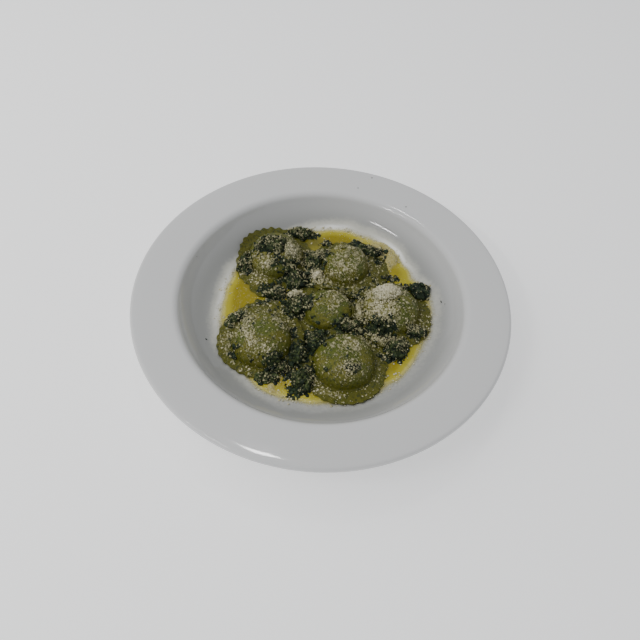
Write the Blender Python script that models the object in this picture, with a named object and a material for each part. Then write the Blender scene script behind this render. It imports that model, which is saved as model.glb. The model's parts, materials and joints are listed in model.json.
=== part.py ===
"""A pasta plate with six green stuffed ravioli, clumps of chopped greens and mounds of grated cheese.

Metres, +Z up. The origin is on the plate's axis, on the surface that the plate stands on, and the
diner sits towards -Y. Everything in the plate is laid from the bottom up: each piece's underside
follows what already lies below it, and its top is that underside plus the piece's own thickness.
"""

import math
import random

import bmesh
import bpy
import numpy as np
from mathutils import Vector
from mathutils.bvhtree import BVHTree

MM = 0.001
GAP = 0.3 * MM  # left between pieces that touch

# The plate, a turned shape 27 cm across, with a deep well, a broad flat rim and a foot ring
PLATE_RADIUS = 135 * MM
PLATE_THICKNESS = 4.8 * MM
PLATE_SEGMENTS = 56
WELL_FLOOR_RADIUS = 76 * MM
WALL_RADIUS = 27.8 * MM  # the hollow curve from the floor up
WALL_SWEEP = math.radians(70)
WALL_STEPS = 7
UNDER_WALL_STEPS = 5
SHOULDER_RADIUS = 6.5 * MM  # the round edge between wall and rim
SHOULDER_STEPS = 4
UNDER_SHOULDER_STEPS = 2
RIM_SLOPE = math.radians(6)
RIM_EDGE_STEPS = 4
FOOT_RADIUS = 70 * MM
FOOT_WIDTH = 5 * MM
FOOT_HEIGHT = 3.7 * MM
FOOT_ROUND = 0.8 * MM
FLOOR_TOP = FOOT_HEIGHT + PLATE_THICKNESS

# The ravioli, cut with a 6 cm fluted ring
FLUTES = 28
FLUTE_DEPTH = 1.2 * MM
FOLD_THICKNESS = 2.1 * MM  # the two layers of dough pressed together, at the dome's foot
EDGE_THICKNESS = 1.4 * MM
EDGE_WAVE = 0.5 * MM
EDGE_WAVES = (4, 6, 7)  # how many times each of its waves goes up and down round a border
EDGE_DROOP = 2.2 * MM  # how far a border hangs below the dome's underside where it has room
DOME_UNEVENNESS = 0.03  # share of the dome's radius
BORDER_UNEVENNESS = 0.02  # share of the border's radius
DOME_FLATNESS = 2.3  # the higher, the flatter the dome's crown
DOME_FULLNESS = 0.62  # the lower, the steeper the dome's foot
DOME_RINGS = (0.4, 0.71, 0.91, 1.05)  # shares of the dome's radius
UNDER_RINGS = (0.5, 1.0)
RESTING_SHARE = 0.9  # share of the dome's radius that rests on what is below

# The clumps of greens and the mounds of cheese
CLUMP_SPOKES = 14
CLUMP_RINGS = (0.55, 0.86)  # shares of the way out to the edge
CLUMP_UNDER_RINGS = (0.6,)
CLUMP_EDGE = 0.9 * MM
CLUMP_UNEVENNESS = 0.12  # share of the way out to the edge
CLUMP_BUMPS = 0.3  # share of the clump's height
CLUMP_BUMP_WAVES = (1, 2, 4)

# Finishes: colour and roughness
WHITE_GLAZE = ((0.80, 0.81, 0.80), 0.15)
GREEN_DOUGH = ((0.13, 0.13, 0.035), 0.45)
WILTED_GREEN = ((0.012, 0.022, 0.012), 0.4)
GRATED_CHEESE = ((0.55, 0.50, 0.32), 0.6)
SHARP_EDGE = math.radians(50)

# The bed is the running record of how high the plate is filled
BED_HALF_WIDTH = 92 * MM
BED_PITCH = 0.6 * MM
BED_STEEPEST = 0.8  # how steeply a border can climb what is under it
BED_REACH = 15 * MM
LIFT_REACH = 5 * MM
LIFT_ROUNDS = 6

# name: centre (x, y), radius, dome's place from the centre, dome radius, dome height, all in
# millimetres, and the rise towards +X and +Y
RAVIOLI = {
    "ravioli_centre": ((4.0, -1.0), 30.0, (1.5, -1.5), 18.5, 12.0, (0.00, 0.00)),
    "ravioli_far_left": ((-38.5, 46.5), 30.0, (0.0, 0.5), 21.5, 14.0, (-0.04, 0.06)),
    "ravioli_far": ((15.5, 38.5), 30.0, (1.0, 1.5), 18.8, 14.5, (0.00, 0.00)),
    "ravioli_near": ((18.5, -49.5), 31.0, (0.0, 1.5), 21.8, 14.5, (0.00, 0.05)),
    "ravioli_near_left": ((-41.0, -33.0), 31.0, (0.0, -2.0), 21.0, 14.5, (0.02, 0.14)),
    "ravioli_right": ((53.0, -3.0), 30.5, (-0.5, 4.0), 20.0, 14.0, (-0.03, 0.07)),
}

# name: centre (x, y), half length, half width and thickness in millimetres, and turn in degrees
GREENS = {
    "greens_far_left": ((-21.5, 76.0), 13.0, 8.0, 5.5, 5),
    "greens_on_far_left": ((-41.0, 46.5), 10.5, 8.5, 2.8, 15),
    "greens_left_edge": ((-62.0, 37.5), 5.0, 9.5, 3.2, 0),
    "greens_far_middle": ((-21.0, 25.0), 12.0, 11.0, 6.0, 0),
    "greens_beside_far": ((-7.0, 45.0), 9.0, 9.5, 4.0, 30),
    "greens_middle": ((-17.5, 0.0), 10.5, 11.0, 6.0, 0),
    "greens_middle_left": ((-36.5, 9.0), 9.5, 5.0, 4.0, 5),
    "greens_near_middle": ((-2.5, -31.0), 8.5, 10.5, 4.5, -10),
    "greens_between": ((-13.5, -44.0), 6.0, 8.5, 4.5, 0),
    "greens_near": ((-10.0, -63.5), 8.5, 12.0, 6.0, 10),
    "greens_near_left": ((-28.0, -53.5), 10.0, 4.8, 2.8, 0),
    "greens_left_border": ((-33.0, -62.5), 9.0, 3.8, 2.6, 5),
    "greens_left": ((-61.5, -18.0), 8.0, 4.5, 2.4, 35),
    "greens_seam": ((20.5, -17.5), 12.0, 5.5, 3.6, 12),
    "greens_right_seam": ((44.5, -18.5), 12.5, 5.5, 3.6, -15),
    "greens_near_right": ((56.0, -34.0), 11.0, 7.5, 4.5, 55),
    "greens_right_border": ((71.0, -18.0), 9.0, 5.0, 2.8, 15),
    "greens_right": ((75.0, 21.0), 8.5, 8.5, 5.5, 0),
    "greens_far_right": ((37.5, 60.0), 12.5, 5.5, 3.6, -25),
}
CHEESE_MOUNDS = {
    "cheese_right": ((47.0, 6.0), 13.0, 10.0, 2.2, 0),
    "cheese_far_left": ((-26.0, 44.5), 7.5, 9.0, 1.8, 0),
    "cheese_middle": ((-20.5, 10.5), 6.5, 4.0, 2.6, 5),
}


class Turtle:
    """Walks a turned profile in the (radius, height) plane and keeps its corner points."""

    def __init__(self, radius, height, heading=0.0):
        self.points = [(radius, height)]
        self.heading = heading

    def forward(self, length):
        r, z = self.points[-1]
        self.points.append((r + length * math.cos(self.heading), z + length * math.sin(self.heading)))

    def bend(self, radius, angle, steps):
        """Turns left by angle, or right if it is negative, on an arc of that radius."""
        chord = 2 * radius * math.sin(abs(angle) / steps / 2)
        for _ in range(steps):
            self.heading += angle / steps / 2
            self.forward(chord)
            self.heading += angle / steps / 2


def plate_profile():
    """The outline from the middle of the well, over the rim and back along the underside."""
    half = PLATE_THICKNESS / 2
    path = Turtle(0.0, FLOOR_TOP)
    path.forward(WELL_FLOOR_RADIUS)
    path.bend(WALL_RADIUS, WALL_SWEEP, WALL_STEPS)
    path.bend(SHOULDER_RADIUS, RIM_SLOPE - WALL_SWEEP, SHOULDER_STEPS)
    rim_end = PLATE_RADIUS - half * (1 + math.sin(RIM_SLOPE))
    rim_length = (rim_end - path.points[-1][0]) / math.cos(RIM_SLOPE)
    path.forward(rim_length)
    path.bend(half, -math.pi, RIM_EDGE_STEPS)
    path.forward(rim_length)
    path.bend(SHOULDER_RADIUS - PLATE_THICKNESS, WALL_SWEEP - RIM_SLOPE, UNDER_SHOULDER_STEPS)
    path.bend(WALL_RADIUS + PLATE_THICKNESS, -WALL_SWEEP, UNDER_WALL_STEPS)
    path.forward(WELL_FLOOR_RADIUS - FOOT_RADIUS - FOOT_WIDTH / 2)
    for turn, straight in (
        (1, FOOT_HEIGHT - 2 * FOOT_ROUND),
        (-1, FOOT_WIDTH - 4 * FOOT_ROUND),
        (-1, FOOT_HEIGHT - 2 * FOOT_ROUND),
        (1, FOOT_RADIUS - FOOT_WIDTH / 2),
    ):
        path.bend(FOOT_ROUND, turn * math.pi / 2, 1)
        path.forward(straight)
    path.points[-1] = (0.0, path.points[-1][1])
    return path.points


def finished(name, mesh, finish):
    """Puts the mesh in the scene as the named object, shaded smooth, with a material of its own."""
    obj = bpy.data.objects.new(name, mesh)
    bpy.context.scene.collection.objects.link(obj)
    mesh.shade_smooth()
    mesh.set_sharp_from_angle(angle=SHARP_EDGE)
    colour, roughness = finish
    material = bpy.data.materials.new(name)
    material.use_nodes = True
    shader = material.node_tree.nodes["Principled BSDF"]
    shader.inputs["Base Color"].default_value = (*colour, 1.0)
    shader.inputs["Roughness"].default_value = roughness
    shader.inputs["Metallic"].default_value = 0.0
    mesh.materials.append(material)
    return obj


def make_plate():
    form = bmesh.new()
    corners = [form.verts.new((r, 0.0, z)) for r, z in plate_profile()]
    edges = [form.edges.new(pair) for pair in zip(corners, corners[1:])]
    bmesh.ops.spin(
        form,
        geom=corners + edges,
        cent=(0, 0, 0),
        axis=(0, 0, 1),
        angle=2 * math.pi,
        steps=PLATE_SEGMENTS,
    )
    bmesh.ops.remove_doubles(form, verts=form.verts[:], dist=0.01 * MM)
    bmesh.ops.recalc_face_normals(form, faces=form.faces[:])
    mesh = bpy.data.meshes.new("plate")
    form.to_mesh(mesh)
    form.free()
    return finished("plate", mesh, WHITE_GLAZE)


class Bed:
    """The height of what lies in the plate so far, on a square grid seen from above."""

    def __init__(self):
        steps = round(BED_HALF_WIDTH / BED_PITCH)
        self.axis = np.arange(-steps, steps + 1) * BED_PITCH
        self.x, self.y = np.meshgrid(self.axis, self.axis, indexing="ij")
        self.height = np.zeros(self.x.shape)
        self.blocked = self.height  # the heights with each edge and top a step wider
        self.slopes = self.height  # the heights with a climbable slope down from each

    def add(self, obj):
        """Raises the heights to this object's top surface."""
        mesh = obj.data
        tree = BVHTree.FromPolygons(
            [v.co for v in mesh.vertices], [tuple(p.vertices) for p in mesh.polygons]
        )
        low = np.array([v.co for v in mesh.vertices]).min(axis=0)
        high = np.array([v.co for v in mesh.vertices]).max(axis=0)
        inside = (self.x >= low[0]) & (self.x <= high[0]) & (self.y >= low[1]) & (self.y <= high[1])
        above = high[2] + 10 * MM
        for i, j in zip(*np.nonzero(inside)):
            hit = tree.ray_cast(Vector((self.x[i, j], self.y[i, j], above)), Vector((0, 0, -1)))[0]
            if hit is not None:
                self.height[i, j] = max(self.height[i, j], hit.z)
        self.blocked = self.spread(self.height, 0.0)
        self.slopes = self.blocked
        for _ in range(round(BED_REACH / BED_PITCH)):
            self.slopes = self.spread(self.slopes, BED_STEEPEST)

    def spread(self, heights, steepness):
        """Each height raised to its neighbours', less the drop that the steepness gives on the way."""
        size = len(self.axis)
        padded = np.pad(heights, 1, mode="edge")
        for i, j in ((0, 1), (1, 0), (1, 2), (2, 1)):
            drop = steepness * BED_PITCH
            heights = np.maximum(heights, padded[i : i + size, j : j + size] - drop)
        return heights

    def read(self, field, x, y):
        """The field's values between the grid's points, for arrays of places."""
        u = np.clip((x - self.axis[0]) / BED_PITCH, 0, len(self.axis) - 1.001)
        v = np.clip((y - self.axis[0]) / BED_PITCH, 0, len(self.axis) - 1.001)
        i = u.astype(int)
        j = v.astype(int)
        u = u - i
        v = v - j
        near = field[i, j] * (1 - v) + field[i, j + 1] * v
        far = field[i + 1, j] * (1 - v) + field[i + 1, j + 1] * v
        return near * (1 - u) + far * u


def uneven(angle, seed, waves=(2, 3, 5)):
    """A smooth irregular curve round a circle, from about -1 to 1."""
    phases = random.Random(seed)
    return sum(np.sin(k * angle + phases.uniform(0, 2 * math.pi)) for k in waves) / len(waves)


def ring_faces(inner, outer):
    """Faces between two rings of point numbers; the outer has as many points or twice as many."""
    ratio = len(outer) // len(inner)
    faces = []
    for k, first in enumerate(inner):
        span = [outer[(k * ratio + step) % len(outer)] for step in range(ratio + 1)]
        faces.append([first, *span, inner[(k + 1) % len(inner)]])
    return faces


class Sheet:
    """One side of a laid piece: a middle point and rings round it, from the middle outwards."""

    def __init__(self, middle, rings):
        self.counts = [len(ring) for ring in rings]
        self.places = np.vstack([[middle], *rings])

    def numbers(self, start):
        """The point numbers of each ring, if the middle point is number start."""
        firsts = np.cumsum([start + 1, *self.counts])
        return [list(range(first, first + count)) for first, count in zip(firsts, self.counts)]

    def faces(self, start):
        rings = self.numbers(start)
        inner = rings[0]
        fan = [[start, inner[k], inner[(k + 1) % len(inner)]] for k in range(len(inner))]
        bands = [face for pair in zip(rings, rings[1:]) for face in ring_faces(*pair)]
        return fan + bands


def clearance(vertices, faces, bed):
    """Where and how far the underside reaches into the bed: the places and the shortfalls."""
    tree = BVHTree.FromPolygons([Vector(v) for v in vertices], faces)
    low = vertices.min(axis=0)
    high = vertices.max(axis=0)
    inside = (bed.x >= low[0]) & (bed.x <= high[0]) & (bed.y >= low[1]) & (bed.y <= high[1])
    found = []
    for i, j in zip(*np.nonzero(inside)):
        hit = tree.ray_cast(Vector((bed.x[i, j], bed.y[i, j], 0.0)), Vector((0, 0, 1)))[0]
        short = 0 if hit is None else bed.blocked[i, j] + GAP - hit.z
        if short > 0:
            found.append((bed.x[i, j], bed.y[i, j], short))
    return np.array(found).reshape(-1, 3)


def lay(name, bed, top, bottom, thickness, rest, finish):
    """Makes a closed piece whose underside rests on the bed or on rest(x, y), whichever is higher."""

    def underside(places):
        x, y = places.T
        return np.maximum(rest(x, y), bed.read(bed.slopes, x, y) + GAP)

    places = np.vstack([top.places, bottom.places])
    heights = underside(places)
    start = len(top.places)
    rim_top = top.numbers(0)[-1]
    rim_bottom = bottom.numbers(start)[-1]
    up = [face[::-1] for face in top.faces(0)]
    down = bottom.faces(start)
    for _ in range(LIFT_ROUNDS):
        under = np.column_stack([places, heights])
        short = clearance(under[start:], bottom.faces(0), bed)
        if not len(short):
            break
        for spot in short:
            near = np.hypot(*(places - spot[:2]).T) < LIFT_REACH
            heights[near] = np.maximum(heights[near], under[near, 2] + spot[2])
    points = np.column_stack([places, heights])
    points[:start, 2] += thickness
    side = [
        [rim_top[k], rim_bottom[k], rim_bottom[(k + 1) % len(rim_top)], rim_top[(k + 1) % len(rim_top)]]
        for k in range(len(rim_top))
    ]
    mesh = bpy.data.meshes.new(name)
    mesh.from_pydata(points.tolist(), [], up + down + side)
    form = bmesh.new()
    form.from_mesh(mesh)
    bmesh.ops.recalc_face_normals(form, faces=form.faces[:])
    bmesh.ops.triangulate(form, faces=form.faces[:])
    form.to_mesh(mesh)
    form.free()
    bed.add(finished(name, mesh, finish))


def circle_ring(middle, radius, count):
    """Places round the middle; radius is a number or a function of the angle."""
    angle = np.arange(count) * 2 * math.pi / count
    reach = radius(angle) if callable(radius) else radius
    return np.column_stack([middle[0] + reach * np.cos(angle), middle[1] + reach * np.sin(angle)])


def make_raviolo(name, bed, centre, radius, dome_place, dome_radius, dome_height, rise):
    middle = np.array(centre) * MM
    dome_middle = middle + np.array(dome_place) * MM
    radius = radius * MM
    dome_radius = dome_radius * MM

    def dome_edge(angle):
        return dome_radius * (1 + DOME_UNEVENNESS * uneven(angle, name + " dome"))

    def outer_edge(angle):
        flute = (np.cos(FLUTES * angle) - 1) / 2
        return radius * (1 + BORDER_UNEVENNESS * uneven(angle, name + " border")) + FLUTE_DEPTH * flute

    top_rings = [
        circle_ring(dome_middle, lambda angle, share=share: share * dome_edge(angle), FLUTES)
        for share in DOME_RINGS
    ]
    under_rings = [circle_ring(dome_middle, share * dome_radius, FLUTES) for share in UNDER_RINGS]
    border = circle_ring(middle, outer_edge, 2 * FLUTES)
    top = Sheet(dome_middle, [*top_rings, border])
    bottom = Sheet(dome_middle, [*under_rings, border])

    def from_dome(x, y):
        return np.hypot(x - dome_middle[0], y - dome_middle[1])

    def out_share(x, y):
        """0 up to the dome's foot, 1 at the border's edge."""
        inner = from_dome(x, y) - dome_radius
        outer = radius - np.hypot(x - middle[0], y - middle[1])
        return np.clip(inner / np.maximum(inner + outer, 1 * MM), 0, 1)

    tilt = rise[0] * (bed.x - middle[0]) + rise[1] * (bed.y - middle[1])
    under_dome = from_dome(bed.x, bed.y) < RESTING_SHARE * dome_radius
    base = (bed.height - tilt)[under_dome].max() + GAP

    def rest(x, y):
        out = out_share(x, y)
        angle = np.arctan2(y - middle[1], x - middle[0])
        wave = EDGE_WAVE * uneven(angle, name + " wave", EDGE_WAVES)
        plane = base + rise[0] * (x - middle[0]) + rise[1] * (y - middle[1])
        return plane + out * wave - out**2 * EDGE_DROOP

    x, y = top.places.T
    share = from_dome(x, y) / dome_radius
    swell = (1 - np.clip(share, 0, 1) ** DOME_FLATNESS) ** DOME_FULLNESS
    out = out_share(x, y)
    thickness = FOLD_THICKNESS + (EDGE_THICKNESS - FOLD_THICKNESS) * out + dome_height * MM * swell
    lay(name, bed, top, bottom, thickness, rest, GREEN_DOUGH)


def make_clump(name, bed, centre, half_length, half_width, thickness, turn, finish):
    """An uneven flat heap that follows what it lies on."""
    middle = np.array(centre) * MM
    turn = math.radians(turn)

    def edge(angle):
        along = np.cos(angle - turn) / (half_length * MM)
        across = np.sin(angle - turn) / (half_width * MM)
        return (1 + CLUMP_UNEVENNESS * uneven(angle, name)) / np.hypot(along, across)

    def ring(share):
        return circle_ring(middle, lambda angle: share * edge(angle), CLUMP_SPOKES)

    border = ring(1.0)
    top = Sheet(middle, [*map(ring, CLUMP_RINGS), border])
    bottom = Sheet(middle, [*map(ring, CLUMP_UNDER_RINGS), border])
    x, y = (top.places - middle).T
    angle = np.arctan2(y, x)
    out = np.hypot(x, y) / edge(angle)
    bumps = 1 + CLUMP_BUMPS * uneven(angle, name + " bumps", CLUMP_BUMP_WAVES) * np.sin(math.pi * out)
    swell = np.sqrt(np.clip(1 - out**2, 0, 1)) * bumps
    rising = CLUMP_EDGE + (thickness * MM - CLUMP_EDGE) * swell

    def rest(x, y):
        return np.zeros_like(x)

    lay(name, bed, top, bottom, rising, rest, finish)


def build():
    for obj in list(bpy.data.objects):
        bpy.data.objects.remove(obj)
    bed = Bed()
    bed.add(make_plate())
    for name, sizes in RAVIOLI.items():
        make_raviolo(name, bed, *sizes)
    for name, sizes in GREENS.items():
        make_clump(name, bed, *sizes, WILTED_GREEN)
    for name, sizes in CHEESE_MOUNDS.items():
        make_clump(name, bed, *sizes, GRATED_CHEESE)


build()
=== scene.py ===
"""The looks of a plate of green ravioli with melted butter, wilted greens and grated cheese.

Everything in the plate is laid from the bottom up on a bed, the running record of how high the
plate is filled: first the ravioli and the butter, then the greens, then the cheese. Lengths are in
metres; a value in millimetres is multiplied by MM. The diner sits towards -Y.
"""

import json
import math
import random

import bpy
import numpy as np
from mathutils import Euler, Matrix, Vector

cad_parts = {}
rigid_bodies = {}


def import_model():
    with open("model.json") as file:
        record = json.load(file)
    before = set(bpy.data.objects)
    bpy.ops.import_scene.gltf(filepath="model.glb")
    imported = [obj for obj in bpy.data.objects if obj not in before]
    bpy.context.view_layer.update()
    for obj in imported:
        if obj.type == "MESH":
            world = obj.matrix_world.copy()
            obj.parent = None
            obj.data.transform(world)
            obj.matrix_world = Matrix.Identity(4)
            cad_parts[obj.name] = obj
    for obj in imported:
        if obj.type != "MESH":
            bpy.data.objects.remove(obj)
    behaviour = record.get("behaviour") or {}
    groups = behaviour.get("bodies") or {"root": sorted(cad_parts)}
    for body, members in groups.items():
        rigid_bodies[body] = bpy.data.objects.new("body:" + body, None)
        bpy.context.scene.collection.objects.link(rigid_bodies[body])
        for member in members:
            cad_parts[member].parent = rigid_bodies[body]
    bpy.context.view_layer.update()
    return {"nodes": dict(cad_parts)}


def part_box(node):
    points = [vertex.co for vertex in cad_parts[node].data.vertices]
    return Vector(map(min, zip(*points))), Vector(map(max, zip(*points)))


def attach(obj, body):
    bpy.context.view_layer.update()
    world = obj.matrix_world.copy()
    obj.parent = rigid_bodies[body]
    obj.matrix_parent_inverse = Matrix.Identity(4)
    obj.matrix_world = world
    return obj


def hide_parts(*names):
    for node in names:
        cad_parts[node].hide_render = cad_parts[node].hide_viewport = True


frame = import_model()
MM = 0.001
GAP = 0.3 * MM

# The plate, as its node has it, with finer steps
PLATE_RADIUS = 134.98 * MM
PLATE_THICKNESS = 4.8 * MM
PLATE_SEGMENTS = 288
WELL_FLOOR_RADIUS = 76 * MM
WALL_RADIUS = 27.8 * MM
WALL_SWEEP = math.radians(70)
SHOULDER_RADIUS = 6.5 * MM
RIM_SLOPE = math.radians(6)
FOOT_RADIUS = 70 * MM
FOOT_WIDTH = 5 * MM
FOOT_HEIGHT = 3.7 * MM
FOOT_ROUND = 0.8 * MM
FLOOR_TOP = FOOT_HEIGHT + PLATE_THICKNESS

# The heap of food, seen from above
HEAP_MIDDLE = np.array([3.8, 4.0]) * MM
BED_PITCH = 0.4 * MM
BED_HALF_WIDTH = 92 * MM
DRAPE_ROUNDS = 40

# The ravioli
FLUTES = 28
FLUTE_DEPTH = 0.95 * MM
FLUTE_RIDGE = 0.35 * MM
FOLD_THICKNESS = 2.1 * MM
EDGE_THICKNESS = 1.4 * MM
EDGE_WAVE = 0.5 * MM
EDGE_DROOP = 2.2 * MM
BORDER_UNEVEN = 0.02
DOME_UNEVEN = 0.03
DOME_SQUARENESS = 2.3
DOME_FULLNESS = 0.62
CREASE_WIDTH = 0.035
SEAL_SHARE = 1.03
SEAL_DEPTH = 0.6 * MM
SPOKES = 8 * FLUTES
# Where its rings of points are: shares of the dome's radius, then of the border's width
DOME_RINGS = np.concatenate([np.linspace(0, 0.85, 18), [0.9, 0.94, 0.97, 0.985, 1.0]])
BORDER_RINGS = np.concatenate([np.linspace(0.06, 0.9, 14), [0.95, 0.98]])
UNDER_RINGS = ((1.0, 0.97), (1.0, 0.6), (1.0, 0.0), (0.6, 0.0), (0.0, 0.0))

# node: dome's place from the centre, radius and height in millimetres, rise towards +X and +Y
RAVIOLI = {
    "ravioli_centre": ((1.5, -1.5), 18.5, 12, (0, 0)),
    "ravioli_far_left": ((0, 0.5), 21.5, 14, (-0.04, 0.06)),
    "ravioli_far": ((1, 1.5), 18.8, 14.5, (0, 0)),
    "ravioli_near": ((0, 1.5), 21.8, 14.5, (0, 0.05)),
    "ravioli_near_left": ((0, -2), 21, 14.5, (0.02, 0.14)),
    "ravioli_right": ((-0.5, 2.5), 21, 14, (-0.03, 0.07)),
}
# node: creases in the dough: from one angle to another in degrees, at what share of the dome's
# radius, and how deep in millimetres
CREASES = {
    "ravioli_far_left": ((195, 265, 0.86, 0.9),),
    "ravioli_near_left": ((200, 300, 0.88, 1), (-60, 10, 0.8, 0.5)),
    "ravioli_near": ((-50, 40, 0.93, 0.8), (60, 150, 0.55, 0.5)),
    "ravioli_right": ((180, 280, 0.9, 0.8),),
    "ravioli_far": ((200, 330, 0.9, 0.8), (-50, 45, 0.93, 1.2)),
    "ravioli_centre": ((150, 260, 0.85, 0.7), (280, 350, 0.7, 0.6), (-70, 30, 0.85, 1)),
}
# node: where its border stands up, from one angle to another in degrees, and how far in millimetres
RAISED = {
    "ravioli_far_left": ((60, 215, 7),),
    "ravioli_near_left": ((130, 250, 2),),
}
# node: where its dough is stretched outwards, likewise
STRETCHED = {
    "ravioli_far_left": ((185, 300, 5), (238, 290, 6.5)),
    "ravioli_far": ((-40, 65, 6.5),),
    "ravioli_near": ((0, 65, 4),),
    "ravioli_near_left": ((150, 230, 1.5), (50, 130, 3)),
}
GREENS = sorted(n for n in frame["nodes"] if n.startswith("greens_"))
CHEESE_MOUNDS = sorted(n for n in frame["nodes"] if n.startswith("cheese_"))

# The inside of a heap
CORE_SPOKES = 80
CORE_RINGS = np.concatenate([np.linspace(0, 0.92, 22), [0.95, 0.975, 0.99, 1.0]])
CORE_LIFT = 0.3 * MM
CORE_UNEVEN = 0.14

# Loose greens between the clumps: place, half width and half depth in millimetres
LOOSE_GREENS = (
    (-35.5, 35, 6, 3.5), (43.5, 47.5, 2.4, 2.4), (52.9, 33, 5.5, 2.4), (-13.6, -71.3, 7.5, 4),
    (-58.2, -45.6, 3.5, 3), (22.4, -58.1, 4.2, 3), (-38, 14.5, 9, 4), (-32, 7, 10, 4.5),
    (-38, 1.5, 9, 3), (-19, -57.5, 5, 5), (-17.5, -53, 4.5, 4.5), (-12.5, 75, 6, 4),
    (-26, 3, 6, 6), (66, 25, 4, 3.5), (22.9, 6.3, 2.6, 2), (29.6, 9.1, 2.6, 2),
    (27, 66.5, 5.5, 4), (0, 66, 4, 3),
)
# What stays bare of greens: place, half width and half depth in millimetres, and how bare
BARE_PLACES = ((59, -9, 8, 8, 1.3), (10, 1, 9, 9, 1.2), (50, 58, 6, 6, 1))
LOOSE_THICKNESS = 0.7
STRAY_GREENS = 0.1
CHEESE_LEAST = 0.12
# How much of its node a clump's core fills, and how thick loose leaves lie on and around it
CLUMP = (0.76, 0.8, 1.0)
SMOOTH_CLUMPS = {"greens_right": (1.0, 0.2, 0.2)}
# How much of its node a mound's core fills, and how thick the crumbs lie on it
MOUND = (0.8, 1.0)
THIN_MOUNDS = {"cheese_far_left": (0.64, 0.55)}
# Lumps of half melted cheese: place, half width, half depth and thickness in millimetres
CHEESE_LUMPS = ((-4.8, 28.9, 3.8, 3, 1.3), (28.2, -2.5, 1.8, 5.5, 1.2))
# Specks of herb on the bare plate: place and length in millimetres
SPECKS = (
    (36.4, 123.8, 1.6), (24.7, 111.7, 1.3), (64.3, 92.4, 1.4), (90.6, 10.4, 2.2),
    (93, 7.5, 1.2), (-80.5, -35.1, 1.8), (-97, 30, 1),
)
GROUND_STRIDE = 2

# The melted butter: its pools' places, half widths and half depths in millimetres, and how deep
BUTTER_POOLS = (
    (-59, 7, 13, 18, 1), (11, 72, 15, 9, 0.8), (62, 48, 14, 12, 0.7), (-38, -67, 20, 9, 0.8),
    (-5, -80, 16, 6, 0.6), (62, -46, 16, 16, 0.8),
)
# Curds of cheese melted into the butter, likewise; the last two rows, in the near left pool, are a
# painted highlight on the butter, drawn as pale curds
CURDS_AND_HIGHLIGHT = (
    (42, 67, 7, 4.5, 1), (50, 61, 5.5, 4.5, 1), (55.5, 53.5, 4.5, 5.5, 1), (46, 55, 6, 4.5, 0.8),
    (52, 46.5, 5, 4, 0.6), (28, 72, 7, 3, 0.5), (-31, -69, 2.6, 3.6, 0.8),
    (-28, -73, 3.6, 2.2, 0.8),
)
CURD_HEIGHT = 2.2 * MM
# Where the butter is darker olive, likewise; next to the food it is darkened too, as painted shade
# spread out from the food in rounds
MURK = ((-10, 68.5, 10, 8, 1.2),)
CONTACT_SHADE_ROUNDS = 60
BUTTER_FILM = 0.4
BUTTER_DEEPEST = 1.1 * MM
BUTTER_SLOPE = 14 * MM
BUTTER_WANDER = 1 * MM
# How far the butter has run from the heap's middle: direction in degrees, distance in millimetres
BUTTER_REACH = (
    (-180, 80.5), (-166, 83), (-151, 85), (-136, 84.5), (-124, 87), (-114, 88.5), (-100, 86),
    (-86, 86), (-73, 86), (-61, 84.5), (-46, 82), (-28, 80), (-13, 82), (0, 82), (13, 82),
    (25, 76.5), (36, 77), (46, 80), (62, 81.5), (81, 82), (98, 81), (115, 78), (158, 81),
)
# A pale ring round the food on the plate, partly an oily film and partly painted light: how far out
# it reaches, and the side where it is strongest
HALO_WIDTH = 11 * MM
HALO_SIDE = math.radians(115)
# Painted highlights in the glaze's colour where the butter's edge glints: direction in degrees,
# half width in degrees and how brightly
GLINTS = ((86, 9, 0.8), (47, 12, 0.9), (175, 22, 0.35))
GLINT_WIDTH = 3 * MM
BUTTER_SPOKES = 240
BUTTER_RINGS = np.concatenate([np.linspace(0, 0.7, 20), np.linspace(0.715, 1, 24)])
BUTTER_CLEAR = 0.03 * MM

# Unevenness over the plan, in layers: how strong, bumps how many millimetres apart, and a seed
LAYERS = {
    "dome": ((0.75, 9, 0), (0.4, 4.5, 10)),
    "skin": ((0.2, 2.2, 20), (0.12, 1.1, 30)),
    "heap": ((1, 5, 0), (0.7, 2.3, 1)),
    "heap grain": ((1, 1.3, 2), (0.6, 0.8, 3)),
    "torn edge": ((0.35, 5, 8), (0.25, 2.5, 9)),
    "cheese": ((0.12, 12, 3),),
    "cheese on greens": ((0.9, 8, 33),),
    "cheese clouds": ((1, 2.5, 31), (0.6, 6, 32)),
    "butter": ((0.1, 9, 5),),
    "curd": ((0.5, 3, 6),),
    "curd height": ((0.3, 4, 7),),
}

CAMERA_PLACE = (-0.33 * MM, -249.01 * MM, 340.95 * MM)
CAMERA_ELEVATION = math.radians(54.3)
CAMERA_ROLL = math.radians(3.51)
CAMERA_SENSOR = 36
CAMERA_LENS = 30.94
SKY = {"Color": (0.95, 0.97, 1.0, 1.0), "Strength": 0.6}
# Lamps aimed at the plate: name, place, length, width, watts and colour
LAMPS = (
    ("window", (-0.8, 0.15, 0.8), 1.1, 1.1, 6.5, (1.0, 0.99, 0.97)),
    ("tube", (-0.52, -0.35, 0.72), 0.3, 0.02, 1.5, (1.0, 1.0, 1.0)),
    ("lamp", (-0.09, 0.42, 0.95), 0.06, 0.06, 0.5, (1.0, 1.0, 1.0)),
)
TABLE_HALF_WIDTH = 3.0


def arithmetic(operation, swapped=False):
    """A method of Wire that adds the Math node for an operator."""

    def method(wire, other):
        first, second = (other, wire) if swapped else (wire, other)
        return wire.nodes.add("ShaderNodeMath", {"operation": operation}, {0: first, 1: second})

    return method


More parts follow.
